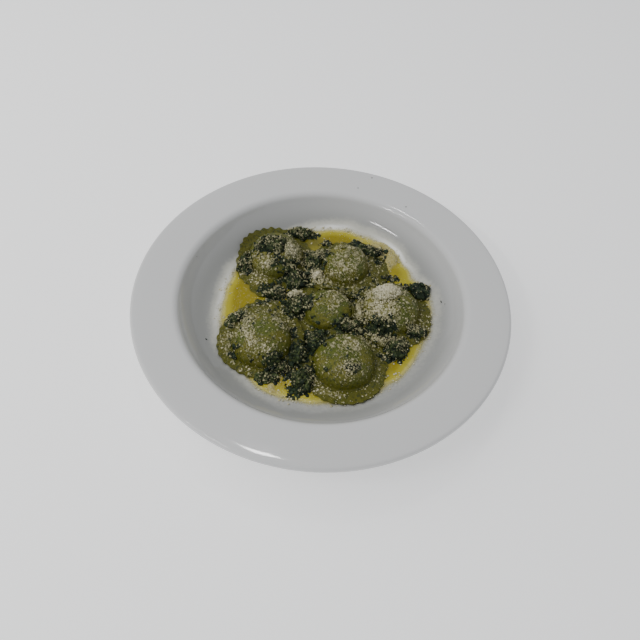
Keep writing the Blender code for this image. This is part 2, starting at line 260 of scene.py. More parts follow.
class Wire:
    """A node's output. Arithmetic on wires and numbers adds the Math nodes that do it."""

    __add__ = arithmetic("ADD")
    __radd__ = arithmetic("ADD", True)
    __sub__ = arithmetic("SUBTRACT")
    __rsub__ = arithmetic("SUBTRACT", True)
    __mul__ = arithmetic("MULTIPLY")
    __rmul__ = arithmetic("MULTIPLY", True)
    __rtruediv__ = arithmetic("DIVIDE", True)
    __pow__ = arithmetic("POWER")

    def __init__(self, nodes, socket):
        self.nodes = nodes
        self.socket = socket


class Nodes:
    """Adds nodes to a shader or geometry tree."""

    def __init__(self, tree):
        self.tree = tree
        tree.nodes.clear()

    def add(self, kind, settings=None, inputs=None, output=0):
        """A node of that kind with its settings and inputs, as a wire from one of its outputs."""
        node = self.tree.nodes.new(kind)
        for name, value in (settings or {}).items():
            setattr(node, name, value)
        for name, value in (inputs or {}).items():
            if isinstance(value, Wire):
                self.tree.links.new(value.socket, node.inputs[name])
            else:
                node.inputs[name].default_value = value
        return Wire(self, node.outputs[output]) if node.outputs else node

    def other(self, wire, output):
        """Another output of the node that the wire comes from."""
        return Wire(self, wire.socket.node.outputs[output])

    def place(self):
        return self.add("ShaderNodeTexCoord", output="Object")

    def noise(self, size, detail=3.0, roughness=0.55):
        """Clouds from 0 to 1 whose largest lumps are about size across."""
        values = {"Vector": self.place(), "Scale": 1 / size}
        values.update({"Detail": detail, "Roughness": roughness})
        return self.add("ShaderNodeTexNoise", {}, values)

    def between(self, value, low, high):
        """0 where the value is at low or below, 1 at high or above, smooth between."""
        settings = {"interpolation_type": "SMOOTHSTEP"}
        values = {"Value": value, "From Min": low, "From Max": high}
        return self.add("ShaderNodeMapRange", settings, values)

    def blend(self, share, first, second):
        """A mix of two colours."""
        first, second = ((*c, 1.0) if isinstance(c, tuple) else c for c in (first, second))
        settings = {"data_type": "RGBA", "clamp_factor": True}
        return self.add("ShaderNodeMix", settings, {0: share, 6: first, 7: second}, output=2)

    def bump(self, height, depth, strength=1.0):
        """A surface normal for that relief, depth metres high."""
        values = {"Height": height, "Distance": depth, "Strength": strength}
        return self.add("ShaderNodeBump", {}, values)

    def attribute(self, name):
        return self.add("ShaderNodeAttribute", {"attribute_name": name}, output="Fac")


def finish(name, paint):
    """A material whose shader sockets are what paint(nodes) returns."""
    made = bpy.data.materials.new(name)
    made.use_nodes = True
    nodes = Nodes(made.node_tree)
    shader = nodes.add("ShaderNodeBsdfPrincipled", {}, paint(nodes))
    nodes.add("ShaderNodeOutputMaterial", {}, {"Surface": shader})
    return made


def paint_glaze(nodes):
    """White glaze, painted shade in the well, an oily film and painted light round the food."""
    smear = nodes.noise(14 * MM, 4.0)
    grain = nodes.noise(2.5 * MM, 3.0)
    wave = nodes.noise(30 * MM, 1.0)
    ends = {0: nodes.place(), 1: (0, 0, FLOOR_TOP)}
    away = nodes.add("ShaderNodeVectorMath", {"operation": "DISTANCE"}, ends, "Value")
    # Painted shade: the glaze is darker inside the well, out to 88 mm from the middle, and lightens
    # to its own white by 110 mm
    outer = nodes.between(away, 88 * MM, 110 * MM)
    shaded_well = nodes.blend(outer, (0.31, 0.313, 0.3), (0.65, 0.65, 0.645))
    # A pale ring round the food: partly an oily film, partly painted light
    halo = nodes.between(nodes.attribute("halo") + (grain - 0.5) * 0.5, 0.1, 0.9)
    greasy_and_lit = nodes.blend(halo * 0.5, shaded_well, (0.8, 0.785, 0.66))
    return {
        "Base Color": nodes.blend(nodes.attribute("glint"), greasy_and_lit, (0.96, 0.96, 0.93)),
        "Roughness": nodes.between(smear, 0.3, 0.8) * 0.05 + 0.04,
        "Normal": nodes.bump(wave, 0.1 * MM, 0.2),
    }


def paint_dough(nodes):
    """Spinach dough: olive, darker where wet and thin, dusted with the finest of the cheese."""
    flecks = nodes.noise(1.9 * MM, 3.0, 0.6)
    patches = nodes.noise(11 * MM, 3.0)
    dust = nodes.noise(1.5 * MM, 5.0, 0.75)
    low = nodes.attribute("low")
    dusting = nodes.attribute("dusting")
    yellower = nodes.between(patches, 0.38, 0.62)
    olive = nodes.blend(yellower, (0.074, 0.096, 0.004), (0.132, 0.128, 0.01))
    wet = nodes.blend(low * 0.8, olive, (0.083, 0.082, 0.002))
    flecked = nodes.blend(nodes.between(flecks, 0.52, 0.64) * 0.75, wet, (0.018, 0.03, 0.005))
    cover = nodes.between(dust + dusting * 0.2, 0.58, 0.72) * (0.6 - 0.2 * low)
    return {
        "Base Color": nodes.blend(cover, flecked, (0.38, 0.35, 0.16)),
        "Roughness": nodes.between(patches, 0.3, 0.7) * 0.2 + 0.3,
        "Specular IOR Level": 0.35,
        "Normal": nodes.bump(dust * 0.9 + flecks * 0.5, 0.6 * MM, 1.0),
    }


def paint_leaf(nodes):
    """Wilted leaf, near black where it folds and greener where it is thin."""
    patches = nodes.noise(4 * MM, 3.0)
    crinkle = nodes.noise(1.1 * MM, 4.0, 0.65)
    young = nodes.between(nodes.attribute("pale") + (patches - 0.5) * 0.6, 0.85, 1.25)
    thinner = nodes.between(patches, 0.4, 0.65)
    dark = nodes.blend(thinner, (0.008, 0.016, 0.01), (0.03, 0.05, 0.023))
    green = nodes.blend(young * 0.9, dark, (0.075, 0.1, 0.03))
    # Painted highlight: lighter grey-green on the raised crinkles
    crinkle_highlight = nodes.between(crinkle, 0.56, 0.72) * 0.5
    return {
        "Base Color": nodes.blend(crinkle_highlight, green, (0.095, 0.11, 0.062)),
        "Roughness": nodes.between(crinkle, 0.3, 0.7) * 0.2 + 0.42,
        "Specular IOR Level": 0.25,
        "Normal": nodes.bump(crinkle, 0.5 * MM, 0.8),
    }


def paint_cheese(nodes):
    """Grated hard cheese, cream with a paler, drier grain, and muted green where it melts."""
    grain = nodes.noise(1.6 * MM, 4.0, 0.7)
    dry = nodes.attribute("pale") + (grain - 0.5) * 0.7
    firmer = nodes.between(dry, -0.1, 0.4)
    melting = nodes.blend(firmer, (0.14, 0.147, 0.07), (0.5, 0.46, 0.26))
    return {
        "Base Color": nodes.blend(nodes.between(dry, 0.35, 0.8), melting, (0.78, 0.73, 0.53)),
        "Roughness": nodes.between(grain, 0.3, 0.7) * 0.2 + 0.4,
        "Normal": nodes.bump(grain, 0.5 * MM, 0.8),
    }


def paint_butter(nodes):
    """Melted butter: deep yellow where it is deep, thinning to a pale, oily film at its edge."""
    deep = nodes.attribute("deep")
    curdled = nodes.between(nodes.attribute("curd"), 0.15, 0.6)
    cloud = nodes.noise(6 * MM, 4.0, 0.6)
    curd = nodes.noise(1.3 * MM, 3.0, 0.65)
    depth = deep + (cloud - 0.5) * 0.25
    film = nodes.between(depth, -0.05, 0.32)
    thin = nodes.blend(film, (0.68, 0.62, 0.25), (0.41, 0.355, 0.02))
    full = nodes.blend(nodes.between(depth, 0.35, 0.95), thin, (0.26, 0.208, 0.003))
    lumpy = nodes.between(curd, 0.4, 0.65)
    cheesy = nodes.blend(lumpy, (0.35, 0.3, 0.085), (0.5, 0.44, 0.2))
    # Painted shade next to the food, and the murk spots, darken the butter to olive
    murky = nodes.blend(nodes.attribute("murky") * 0.9, full, (0.125, 0.112, 0.012))
    mixed = nodes.blend(curdled, murky, cheesy)
    flecks = nodes.between(curd, 0.6, 0.75) * 0.4
    return {
        "Base Color": nodes.blend(flecks, mixed, (0.5, 0.44, 0.12)),
        "Roughness": nodes.between(cloud, 0.3, 0.7) * 0.12 + 0.08,
        "Specular IOR Level": 0.35,
        "Alpha": nodes.between(deep + curdled * 0.2 + (curd - 0.5) * 0.1, -0.02, 0.18),
        "Normal": nodes.bump(nodes.noise(3.5 * MM, 2.0, 0.5) + curd * 0.25, 0.7 * MM, 0.9),
    }


GLAZE = finish("white_glaze", paint_glaze)
DOUGH = finish("spinach_dough", paint_dough)
LEAF = finish("wilted_leaf", paint_leaf)
CHEESE = finish("grated_cheese", paint_cheese)
BUTTER = finish("melted_butter", paint_butter)

# The inside of a heap: material, slot, paleness, how lumpy it is and how deep its grain
CLUMP_CORE = (LEAF, "greens", 0.5, 0.3, 0.3 * MM)
MOUND_CORE = (CHEESE, "cheese", 0.0, 0.2, 0.35 * MM)
LUMP_CORE = (CHEESE, "cheese", 0.2, 0.3, 0.12 * MM)


def rough(x, y, size, seed):
    """Smooth unevenness from about -1 to 1 over the plan, with bumps about size apart."""
    table = np.random.default_rng(seed).uniform(-1, 1, (64, 64))
    i, u = np.divmod(x / size + 0.37 * seed, 1)
    j, v = np.divmod(y / size, 1)
    i, j = i.astype(int) % 64, j.astype(int) % 64
    u, v = u * u * (3 - 2 * u), v * v * (3 - 2 * v)
    near = table[i, j] * (1 - v) + table[i, (j + 1) % 64] * v
    far = table[(i + 1) % 64, j] * (1 - v) + table[(i + 1) % 64, (j + 1) % 64] * v
    return near * (1 - u) + far * u


def layered(x, y, kind, seed=0):
    """That kind of unevenness over the plan."""
    layers = LAYERS[kind]
    return sum(strength * rough(x, y, size * MM, seed + own) for strength, size, own in layers)


def round_angles(count):
    return np.arange(count) * 2 * math.pi / count


def polar(x, y, middle):
    """How far places are from a middle, and at what angle."""
    along, across = x - middle[0], y - middle[1]
    return np.hypot(along, across), np.arctan2(across, along)


def uneven(angle, seed, waves=(2, 3, 5)):
    """A smooth irregular curve round a circle, from about -1 to 1."""
    phases = random.Random(seed)
    return sum(np.sin(k * angle + phases.uniform(0, 2 * math.pi)) for k in waves) / len(waves)


def step(value, low, high):
    """0 at low or below, 1 at high or above, smooth between."""
    share = np.clip((value - low) / (high - low), 0, 1)
    return share * share * (3 - 2 * share)


def keep(piece, slot, *nodes):
    """Rides the piece on the one body, in place of its nodes; slot is not used."""
    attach(piece, "root")
    if nodes:
        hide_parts(*nodes)


def new_object(name, data, material=None):
    obj = bpy.data.objects.new(name, data)
    bpy.context.scene.collection.objects.link(obj)
    if material:
        data.materials.append(material)
    return obj


def set_field(mesh, name, field):
    """Stores a number for each of the mesh's points, as an attribute."""
    numbers = field.ravel().astype(np.float32)
    mesh.attributes.new(name, "FLOAT", "POINT").data.foreach_set("value", numbers)


def mesh_of_rings(name, rings, fields=None):
    """A closed mesh from equal rings of points, from the middle of the top out, under and back.

    The first and the last ring are drawn together to one point. fields are numbers for each point
    of the rings, by name.
    """
    count = rings.shape[1]
    start = len(rings) - 2
    inner = rings[1:-1].reshape(-1, 3)
    points = np.vstack([rings[0].mean(axis=0), inner, rings[-1].mean(axis=0)])
    number = 1 + np.arange(start * count).reshape(start, count)
    after = np.roll(number, -1, axis=1)
    quads = np.stack([number[:-1], number[1:], after[1:], after[:-1]], axis=-1).reshape(-1, 4)
    last = len(points) - 1
    caps = [(0, a, b) for a, b in zip(number[0], after[0])]
    caps += [(last, b, a) for a, b in zip(number[-1], after[-1])]
    mesh = bpy.data.meshes.new(name)
    mesh.from_pydata(points.tolist(), [], quads.tolist() + [tuple(map(int, c)) for c in caps])
    for label, field in (fields or {}).items():
        numbers = [[field[0].mean()], field[1:-1].ravel(), [field[-1].mean()]]
        set_field(mesh, label, np.concatenate(numbers))
    mesh.shade_smooth()
    return mesh


class Profile:
    """Walks a turned profile in the (radius, height) plane and keeps its corner points."""

    def __init__(self, radius, height):
        self.points = [(radius, height)]
        self.heading = 0.0

    def forward(self, length, steps=1):
        for _ in range(steps):
            r, z = self.points[-1]
            right, up = math.cos(self.heading), math.sin(self.heading)
            self.points.append((r + length / steps * right, z + length / steps * up))

    def bend(self, radius, angle, steps):
        """Turns left by angle, or right if it is negative, on an arc of that radius."""
        for _ in range(steps):
            self.heading += angle / steps / 2
            self.forward(2 * radius * math.sin(abs(angle) / steps / 2))
            self.heading += angle / steps / 2


def plate_profile():
    """The outline from the middle of the well, over the rim and back along the underside."""
    half = PLATE_THICKNESS / 2
    path = Profile(0.0, FLOOR_TOP)
    path.forward(WELL_FLOOR_RADIUS, 32)
    path.bend(WALL_RADIUS, WALL_SWEEP, 24)
    path.bend(SHOULDER_RADIUS, RIM_SLOPE - WALL_SWEEP, 12)
    rim_end = PLATE_RADIUS - half * (1 + math.sin(RIM_SLOPE))
    rim_length = (rim_end - path.points[-1][0]) / math.cos(RIM_SLOPE)
    path.forward(rim_length, 6)
    path.bend(half, -math.pi, 12)
    path.forward(rim_length, 2)
    path.bend(SHOULDER_RADIUS - PLATE_THICKNESS, WALL_SWEEP - RIM_SLOPE, 6)
    path.bend(WALL_RADIUS + PLATE_THICKNESS, -WALL_SWEEP, 16)
    path.forward(WELL_FLOOR_RADIUS - FOOT_RADIUS - FOOT_WIDTH / 2)
    for turn, straight in (
        (1, FOOT_HEIGHT - 2 * FOOT_ROUND),
        (-1, FOOT_WIDTH - 4 * FOOT_ROUND),
        (-1, FOOT_HEIGHT - 2 * FOOT_ROUND),
        (1, FOOT_RADIUS - FOOT_WIDTH / 2),
    ):
        path.bend(FOOT_ROUND, turn * math.pi / 2, 5)
        path.forward(straight)
    path.points[-1] = (0.0, path.points[-1][1])
    return np.array(path.points)


PROFILE = plate_profile()
INSIDE = PROFILE[: PROFILE[:, 1].argmax()]  # the stretch from the middle up to the rim's top


def plate_height(x, y):
    """The height of the plate's upper surface."""
    return np.interp(np.hypot(x, y), INSIDE[:, 0], INSIDE[:, 1])


def make_plate():
    angle = round_angles(PLATE_SEGMENTS)
    r, z = (column[:, None] * np.ones(PLATE_SEGMENTS) for column in PROFILE.T)
    rings = np.stack([r * np.cos(angle), r * np.sin(angle), z], axis=-1)
    x, y = rings[..., 0], rings[..., 1]
    inward = within_butter(x, y)
    # The pale ring round the food, partly painted light, strongest towards HALO_SIDE
    halo = step(inward, -HALO_WIDTH, 0) * (0.7 + 0.35 * np.cos(angle - HALO_SIDE))
    # Painted highlights along the butter's edge
    glint = np.zeros_like(halo)
    near = step(inward, -GLINT_WIDTH, -0.3 * GLINT_WIDTH)
    for direction, half, bright in GLINTS:
        off = (np.degrees(angle) - direction + 180) % 360 - 180
        glint += bright * np.exp(-((off / half) ** 2)) * near
    mesh = mesh_of_rings("plate_glazed", rings, {"halo": halo, "glint": glint})
    keep(new_object("plate_glazed", mesh, GLAZE), "plate", "plate")


def neighbours(field):
    """The values to the left, right, front and back of each of the field's."""
    padded = np.pad(field, 1, mode="edge")
    return [padded[:-2, 1:-1], padded[2:, 1:-1], padded[1:-1, :-2], padded[1:-1, 2:]]


class Bed:
    """The height of what lies in the plate so far, on a square grid seen from above."""

    def __init__(self):
        steps = round(BED_HALF_WIDTH / BED_PITCH)
        self.axis = np.arange(-steps, steps + 1) * BED_PITCH
        self.x, self.y = np.meshgrid(self.axis, self.axis, indexing="ij")
        self.height = plate_height(self.x, self.y)

    def above_plate(self):
        return self.height - plate_height(self.x, self.y)

    def on_food(self):
        """0 on the bare plate, 1 on the food."""
        return step(self.above_plate(), 1.5 * MM, 3 * MM)

    def add(self, places):
        """Raises the heights to these places, as close together as the grid's own."""
        x, y, z = places.reshape(-1, 3).T
        i, j = (np.rint((c - self.axis[0]) / BED_PITCH).astype(int) for c in (x, y))
        kept = (i >= 0) & (j >= 0) & (i < len(self.axis)) & (j < len(self.axis))
        np.maximum.at(self.height, (i[kept], j[kept]), z[kept])

    def read(self, field, x, y):
        """The field's values between the grid's points, for arrays of places."""
        u, v = (np.clip((c - self.axis[0]) / BED_PITCH, 0, len(self.axis) - 1.001) for c in (x, y))
        i, j = u.astype(int), v.astype(int)
        u, v = u - i, v - j
        near = field[i, j] * (1 - v) + field[i, j + 1] * v
        far = field[i + 1, j] * (1 - v) + field[i + 1, j + 1] * v
        return near * (1 - u) + far * u

    def drape(self, rest, inside, rounds=DRAPE_ROUNDS):
        """The underside of soft food: at rest or on what is below it, and smooth between."""
        highest = np.maximum.reduce([self.height, *neighbours(self.height)])
        support = np.where(inside, highest + GAP, -1.0)
        under = np.maximum(rest, support)
        for _ in range(rounds):
            under = np.maximum(sum(neighbours(under)) / 4, support)
        return under


def finer(grid, times):
    """The grid of places with times as many rows and columns, which close round."""
    closed = np.concatenate([grid, grid[:, :1]], axis=1)
    for axis in (0, 1):
        size = closed.shape[axis]
        where = np.linspace(0, size - 1, (size - 1) * times + 1)
        low = np.minimum(where.astype(int), size - 2)
        share = np.expand_dims(where - low, tuple(a for a in (0, 1, 2) if a != axis))
        closed = closed.take(low, axis) * (1 - share) + closed.take(low + 1, axis) * share
    return closed


def node_disc(node):
    """The middle and the radius of a round node, seen from above."""
    low, high = (np.array(corner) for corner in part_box(node))
    return (low + high)[:2] / 2, (high - low)[:2].mean() / 2


def stretch(angle, start, end, power):
    """Rises from 0 to 1 and falls again between two angles in degrees, and is 0 elsewhere."""
    share = (np.degrees(angle) - start) % 360 / (end - start)
    return np.where(share < 1, np.sin(np.clip(share, 0, 1) * math.pi), 0) ** power


def crease_depth(node, angle, share):
    """How far the dough folds in at its creases."""
    depth = np.zeros_like(share)
    for start, end, place, deep in CREASES.get(node, ()):
        fade = stretch(angle, start, end, 0.5)
        wander = place + 0.03 * uneven(angle, node + " crease", (3, 5, 8))
        depth += deep * MM * fade * np.exp(-(((share - wander) / CREASE_WIDTH) ** 2))
    return depth


def along_border(table, node, angle):
    """A length that rises and falls again along each of a node's stretches of border."""
    total = np.zeros_like(angle)
    for start, end, most in table.get(node, ()):
        total += most * MM * stretch(angle, start, end, 0.7)
    return total


def make_raviolo(bed, node, dome_place, dome_radius, dome_height, rise):
    """A filled dome in a fluted border, laid on what is below it."""
    middle, radius = node_disc(node)
    dome_middle = middle + np.array(dome_place) * MM
    dome_radius *= MM
    seed = list(RAVIOLI).index(node)

    def outer_edge(angle):
        flute = FLUTE_DEPTH * (np.cos(FLUTES * angle) - 1) / 2
        round_edge = radius * (1 + BORDER_UNEVEN * uneven(angle, node + " border"))
        return round_edge + flute + along_border(STRETCHED, node, angle)

    tilt = rise[0] * (bed.x - middle[0]) + rise[1] * (bed.y - middle[1])
    from_dome, _ = polar(bed.x, bed.y, dome_middle)
    from_middle, around = polar(bed.x, bed.y, middle)
    base = (bed.height - tilt)[from_dome < 0.9 * dome_radius].max() + GAP
    inner, outer = from_dome - dome_radius, radius - from_middle
    out = np.clip(inner / np.maximum(inner + outer, 1 * MM), 0, 1)
    wave = EDGE_WAVE * uneven(around, node + " wave", (4, 6, 7))
    bent = along_border(RAISED, node, around) - EDGE_DROOP
    rest = base + tilt + out * wave + out**2 * bent
    inside = from_middle < outer_edge(around) + BED_PITCH
    under = bed.drape(rest, inside)

    angle = round_angles(SPOKES)
    turn = np.stack([np.cos(angle), np.sin(angle)], axis=-1)
    dome_edge = dome_radius * (1 + DOME_UNEVEN * uneven(angle, node + " dome"))
    dome_rim = dome_middle + turn * dome_edge[:, None]
    border_rim = middle + turn * outer_edge(angle)[:, None]

    def ring(share, border):
        """Places at a share of the dome's radius, or beyond it at one of the border's width."""
        return (dome_middle + (dome_rim - dome_middle) * share) * (1 - border) + border_rim * border

    top = [ring(share, 0.0) for share in DOME_RINGS]
    top += [ring(1.0, border) for border in BORDER_RINGS]
    x, y = np.array(top).transpose(2, 0, 1)
    share = np.concatenate([DOME_RINGS, 1 + 0.5 * BORDER_RINGS])[:, None] * np.ones(SPOKES)
    border = np.concatenate([DOME_RINGS * 0, BORDER_RINGS])[:, None] * np.ones(SPOKES)
    swell = (1 - np.clip(share, 0, 1) ** DOME_SQUARENESS) ** DOME_FULLNESS
    dough = FOLD_THICKNESS + (EDGE_THICKNESS - FOLD_THICKNESS) * border
    thickness = dough + dome_height * MM * swell
    on_dome = 1 - step(share, 0.8, 1.0)
    relief = on_dome * layered(x, y, "dome", seed) + layered(x, y, "skin", seed)
    flute = FLUTE_RIDGE * np.cos(FLUTES * angle) * step(border, 0.2, 0.9)
    press = SEAL_DEPTH * np.exp(-(((share - SEAL_SHARE) / CREASE_WIDTH) ** 2))
    lift = relief * MM + flute - press - crease_depth(node, angle[None, :], share)
    z = bed.read(under, x, y) + thickness + lift
    surface = np.dstack([x, y, z])

    rim = ring(1.0, 1.0)
    rim_under = bed.read(under, *rim.T)
    rim_ring = np.column_stack([rim, rim_under + EDGE_THICKNESS * 0.55 + flute[-1]])
    back = np.array([ring(*place) for place in UNDER_RINGS])
    back = np.dstack([back, bed.read(under, back[..., 0], back[..., 1])])
    rings = np.concatenate([surface, rim_ring[None], back])
    low = np.concatenate([step(share, 0.75, 1.02), np.ones((len(back) + 1, SPOKES))])
    dusting = cheese_fall(rings[..., 0], rings[..., 1])
    mesh = mesh_of_rings(node + "_dough", rings, {"low": low, "dusting": dusting})
    keep(new_object(node + "_dough", mesh, DOUGH), "dough", node)
    bed.add(finer(surface, 4))


# Where more cheese fell: place, half width and half depth in millimetres, and how much more
CHEESE_PATCHES = (
    (-46.2, 33.1, 9, 7, 0.6), (-26.2, 44.1, 10, 11, 0.55), (-5.6, 29.2, 5, 6, 0.8),
    (-50.8, -35, 5, 7, 0.5), (-45.6, -45, 5, 6, 0.5), (-35.9, -47.5, 4, 3, 0.8),
    (-30, -24, 9, 6, 0.25), (23.3, -39.7, 8, 9, 0.45), (46, 10.5, 13, 10, 0.9),
    (42, -6, 8, 8, 0.2), (15, 27, 16, 7, 0.3), (18, -62, 18, 6, 0.15), (39, -26, 7, 6, 0.4),
    (17, -8, 6, 8, -0.35), (-40, -9, 12, 6, 0.3), (53, -28, 8, 8, 0.3), (-34, -57, 8, 6, 0.2),
    (-62, 37, 7, 8, 0.35), (-8, 47, 9, 9, 0.35), (-61, -17, 8, 7, 0.75), (-43, 60, 10, 7, -0.2),
    (70, -18, 7, 7, 0.3), (-30, 8, 14, 8, 0.15), (9.8, -1.2, 10, 10, 0.3), (28, -3, 4, 8, 0.2),
    (-21, -61, 5, 4, 0.6), (-20.7, 12.7, 6, 4, 1), (-7, -30, 7, 7, -0.3),
    (22.4, -58.1, 4, 3, 0.5), (46, -48, 7, 12, 0.22), (15, 40, 20, 18, 0.2),
    (43, -3, 15, 14, 0.35), (52, -14, 12, 7, 0.25), (-66, -42, 7, 16, 0.3),
    (-42, -60, 16, 6, 0.2), (12.9, -73, 7, 2.5, 0.9), (3.5, -70.5, 6, 2.5, 0.8),
    (-52, 22, 8, 5, 0.4), (-54, 70, 16, 9, -0.6), (24, -76, 20, 6, -0.3),
    (48, -62, 10, 10, -0.15),
)


def from_spot(x, y, centre_x, centre_y, half_x, half_y):
    """Places measured from a spot's centre, in its half widths and half depths."""
    return (x / MM - centre_x) / half_x, (y / MM - centre_y) / half_y


def spots(table, x, y):
    """The sum of soft spots: place, half width and half depth in millimetres, and strength."""
    total = np.zeros_like(x)
    for *spot, strength in table:
        u, v = from_spot(x, y, *spot)
        total += strength * np.exp(-(u * u + v * v))
    return total


def cheese_fall(x, y):
    """How thick the cheese fell at a place, from 0 to 1."""
    return np.clip(CHEESE_LEAST + layered(x, y, "cheese") + spots(CHEESE_PATCHES, x, y), 0, 1)


def make_camera():
    """The camera stands where the photographer did, looking down at the plate."""
    back = np.array([0, -math.cos(CAMERA_ELEVATION), math.sin(CAMERA_ELEVATION)])
    across = np.array([1.0, 0, 0])
    up = np.cross(across, -back)
    cos_roll, sin_roll = math.cos(CAMERA_ROLL), math.sin(CAMERA_ROLL)
    right, top = cos_roll * across + sin_roll * up, cos_roll * up - sin_roll * across
    rows = np.column_stack([right, top, back, CAMERA_PLACE]).tolist()
    camera = new_object("camera", bpy.data.cameras.new("camera"))
    camera.data.sensor_width = CAMERA_SENSOR
    camera.data.lens = CAMERA_LENS
    camera.matrix_world = Matrix([*rows, (0, 0, 0, 1)])
    bpy.context.scene.camera = camera


def make_lights():
    world = bpy.data.worlds.new("studio")
    bpy.context.scene.world = world
    world.use_nodes = True
    nodes = Nodes(world.node_tree)
    sky = nodes.add("ShaderNodeBackground", {}, SKY)
    nodes.add("ShaderNodeOutputWorld", {}, {"Surface": sky})
    for name, place, length, width, power, colour in LAMPS:
        lamp = bpy.data.lights.new(name, "AREA")
        lamp.shape = "RECTANGLE"
        lamp.size = length
        lamp.size_y = width
        lamp.energy = power
        lamp.color = colour
        obj = new_object(name, lamp)
        obj.location = place
        obj.rotation_euler = (-obj.location).to_track_quat("-Z", "Y").to_euler()
        obj.visible_glossy = name != "window"


def paint_floor(nodes):
    return {
        "Base Color": (0.9, 0.9, 0.9, 1.0),
        "Roughness": 0.8,
        "Emission Color": (1.0, 1.0, 1.0, 1.0),
        "Emission Strength": 0.45,
    }


def make_floor():
    mesh = bpy.data.meshes.new("floor")
    half = TABLE_HALF_WIDTH
    corners = [(-half, -half, 0), (half, -half, 0), (half, half, 0), (-half, half, 0)]
    mesh.from_pydata(corners, [], [(0, 1, 2, 3)])
    new_object("floor", mesh, finish("floor", paint_floor))


def butter_edge(angle):
    """How far the melted butter has run, by the angle round the heap's middle."""
    reach = np.interp(np.degrees(angle), *np.array(BUTTER_REACH).T, period=360) * MM
    return reach + BUTTER_WANDER * uneven(angle, "butter", (9, 14, 23, 31))


def within_butter(x, y):
    """How far inside the butter's edge a place is."""
    out, angle = polar(x, y, HEAP_MIDDLE)
    return butter_edge(angle) - out


def butter_depth(x, y):
    """How deep the butter stands, from 0 at its edge to about 1."""
    pool = BUTTER_FILM + layered(x, y, "butter") + spots(BUTTER_POOLS, x, y)
    return np.clip(pool, 0, 1) * step(within_butter(x, y), 0, BUTTER_SLOPE)


def make_butter(bed):
    """The butter between the ravioli and the plate, with curds and murk in it, and painted shade
    next to the food.
    """
    angle = round_angles(BUTTER_SPOKES)
    reach = BUTTER_RINGS[:, None] * butter_edge(angle)
    x, y = HEAP_MIDDLE[0] + reach * np.cos(angle), HEAP_MIDDLE[1] + reach * np.sin(angle)
    deep = butter_depth(x, y)
    curd = np.clip(spots(CURDS_AND_HIGHLIGHT, x, y) * (1 + layered(x, y, "curd")), 0, 1.1) * (deep > 0)
    floor = plate_height(x, y)
    lump = curd**2 * CURD_HEIGHT * (1 + layered(x, y, "curd height"))
    # Painted shade: the butter darkens next to the food, spread out from it in rounds
    contact_shade = (bed.above_plate() > 1 * MM).astype(float)
    for _ in range(CONTACT_SHADE_ROUNDS):
        contact_shade = sum(neighbours(contact_shade)) / 4
    murky = np.clip(bed.read(contact_shade, x, y) + spots(MURK, x, y), 0, 1)
    top = np.dstack([x, y, floor + BUTTER_DEEPEST * np.sqrt(deep) + lump + 2 * BUTTER_CLEAR])
    back = np.dstack([x, y, floor + BUTTER_CLEAR])[::-1]
    rings = np.concatenate([top, back])
    fields = {"deep": deep, "curd": curd, "murky": murky}
    looks = {label: np.concatenate([field, field[::-1]]) for label, field in fields.items()}
    mesh = mesh_of_rings("melted_butter", rings, looks)
    keep(new_object("melted_butter", mesh, BUTTER), "butter")
    bed.add(finer(top, 5))


def triangle_corners(mesh):
    """The three places of each of a mesh's triangles."""
    mesh.calc_loop_triangles()
    points = np.empty(3 * len(mesh.vertices), np.float32)
    mesh.vertices.foreach_get("co", points)
    corners = np.empty(3 * len(mesh.loop_triangles), np.int32)
    mesh.loop_triangles.foreach_get("vertices", corners)
    return points.reshape(-1, 3)[corners.reshape(-1, 3)]


def plan_ellipse(node):
    """A heap's middle, half axes, turn and greatest thickness, from its node's upward faces."""
    corners = triangle_corners(frame["nodes"][node].data).astype(float)
    volume = abs(np.linalg.det(corners).sum()) / 6
    plan = corners[..., :2]
    first, second = plan[:, 1] - plan[:, 0], plan[:, 2] - plan[:, 0]
    area = (first[:, 0] * second[:, 1] - first[:, 1] * second[:, 0]) / 2
    plan, area = plan[area > 0], area[area > 0]
    centre = plan.mean(axis=1)
    middle = (area[:, None] * centre).sum(axis=0) / area.sum()
    plan, centre = plan - middle, centre - middle
    spread = np.einsum("t,tki,tkj->ij", area, plan, plan)
    spread = spread + 9 * np.einsum("t,ti,tj->ij", area, centre, centre)
    widths, axes = np.linalg.eigh(spread / area.sum() / 12)
    turn = math.atan2(axes[1, 1], axes[0, 1])
    return middle, 2 * np.sqrt(widths[::-1]), turn, 1.5 * volume / area.sum()


def heap_share(bed, node):
    """How far out the bed's places are from the middle of a heap, 1 at its edge."""
    middle, (half_length, half_width), turn, _ = plan_ellipse(node)
    along, across = bed.x - middle[0], bed.y - middle[1]
    u = along * math.cos(turn) + across * math.sin(turn)
    v = across * math.cos(turn) - along * math.sin(turn)
    return np.hypot(u / half_length, v / half_width)


